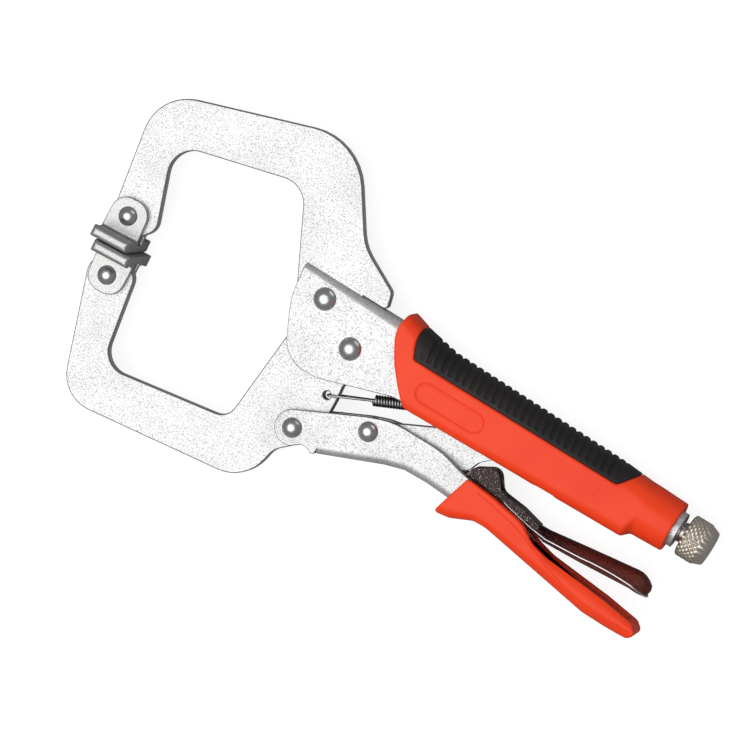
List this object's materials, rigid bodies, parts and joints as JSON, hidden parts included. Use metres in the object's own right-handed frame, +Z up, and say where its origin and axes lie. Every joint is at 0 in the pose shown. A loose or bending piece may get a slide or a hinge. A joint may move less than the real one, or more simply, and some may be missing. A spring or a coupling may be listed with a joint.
{
  "type": "locking c clamp",
  "caption": "Locking C clamp with flat plate jaws, swivel pads, a toggle lower handle with release lever, moulded grips and an adjusting screw.",
  "frame": {"origin": "middle of the bounding box's bottom face, under the clamp lying on its side on its pads' side ends", "axes": "+X along the screw from the jaws to the knob, +Y across the clamp from the moving jaw to the fixed jaw, +Z up along every rivet"},
  "size_m": [0.2762, 0.1442, 0.032],
  "materials": {
    "jaw_steel": "satin zinc plate, finely speckled",
    "body_steel": "satin zinc plate",
    "handle_steel": "satin zinc plate",
    "rivet_steel": "polished",
    "pad_steel": "satin zinc plate",
    "link_steel": "satin",
    "lever_steel": "dark polished",
    "screw_steel": "turned",
    "knob_nickel": "nickel plate, knurled",
    "spring_steel": "drawn wire",
    "grip_orange": "satin moulded elastomer",
    "grip_black": "matte ribbed elastomer"
  },
  "bodies": {
    "body": {"body_channel": "body_steel", "fixed_jaw": "jaw_steel", "fixed_jaw_rivet": "rivet_steel", "jaw_pivot_rivet": "rivet_steel", "screw_bush": "screw_steel", "upper_grip": "grip_orange", "grip_inlay": "grip_black"},
    "jaw": {"moving_jaw": "jaw_steel"},
    "handle": {"lower_handle": "handle_steel", "handle_pivot_rivet": "rivet_steel", "link_pivot_rivet": "rivet_steel", "lever_pin": "screw_steel", "lower_grip": "grip_orange"},
    "link": {"toggle_link": "link_steel"},
    "spring": {"tension_spring": "spring_steel"},
    "lever": {"release_lever": "lever_steel"},
    "screw": {"screw_shank": "screw_steel"},
    "knob": {"adjusting_knob": "knob_nickel"},
    "upper_pad_unit": {"upper_pad": "pad_steel", "upper_pad_rivet": "rivet_steel"},
    "lower_pad_unit": {"lower_pad": "pad_steel", "lower_pad_rivet": "rivet_steel"}
  },
  "joints": [
    {"name": "jaw_pivot", "type": "hinge", "parent": "body", "child": "jaw", "pos_m": [-0.02219, 0.00435, 0.016], "axis": [0, 0, 1], "range_deg": [0, 25], "deforming": ["tension_spring"]},
    {"name": "handle_pivot", "type": "hinge", "parent": "jaw", "child": "handle", "pos_m": [-0.02649, -0.03425, 0.016], "axis": [0, 0, 1], "range_deg": [-74, 0]},
    {"name": "link_pivot", "type": "hinge", "parent": "handle", "child": "link", "pos_m": [0.00041, -0.01975, 0.016], "axis": [0, 0, 1], "range_deg": [0, 74]},
    {"name": "spring_swing", "type": "hinge", "parent": "jaw", "child": "spring", "pos_m": [-0.02139, -0.01645, 0.016], "axis": [0, 0, 1], "range_deg": [-24, 0]},
    {"name": "lever_press", "type": "hinge", "parent": "handle", "child": "lever", "pos_m": [0.05781, -0.01925, 0.016], "axis": [0, 0, 1], "range_deg": [-4, 0]},
    {"name": "screw_travel", "type": "slide", "parent": "body", "child": "screw", "axis": [1, 0, 0], "range_m": [0, 0.02]},
    {"name": "knob_turn", "type": "hinge", "parent": "screw", "child": "knob", "pos_m": [0.12661, 0.01065, 0.016], "axis": [1, 0, 0], "range_deg": [0, 4801]},
    {"name": "upper_pad_swivel", "type": "hinge", "parent": "body", "child": "upper_pad_unit", "pos_m": [-0.12565, 0.00295, 0.016], "axis": [0, 0, 1], "range_deg": [0, 12]},
    {"name": "lower_pad_swivel", "type": "hinge", "parent": "jaw", "child": "lower_pad_unit", "pos_m": [-0.12135, -0.02153, 0.016], "axis": [0, 0, 1], "range_deg": [-15, 0]}
  ],
  "couplings": [
    {"joint": "handle_pivot", "follows": "jaw_pivot", "ratio": -2.944},
    {"joint": "link_pivot", "follows": "jaw_pivot", "ratio": 2.936},
    {"joint": "spring_swing", "follows": "jaw_pivot", "ratio": -0.949},
    {"joint": "knob_turn", "follows": "screw_travel", "rad_per_m": 4188.8},
    {"joint": "upper_pad_swivel", "follows": "jaw_pivot", "ratio": 0.44},
    {"joint": "lower_pad_swivel", "follows": "jaw_pivot", "ratio": -0.56}
  ]
}
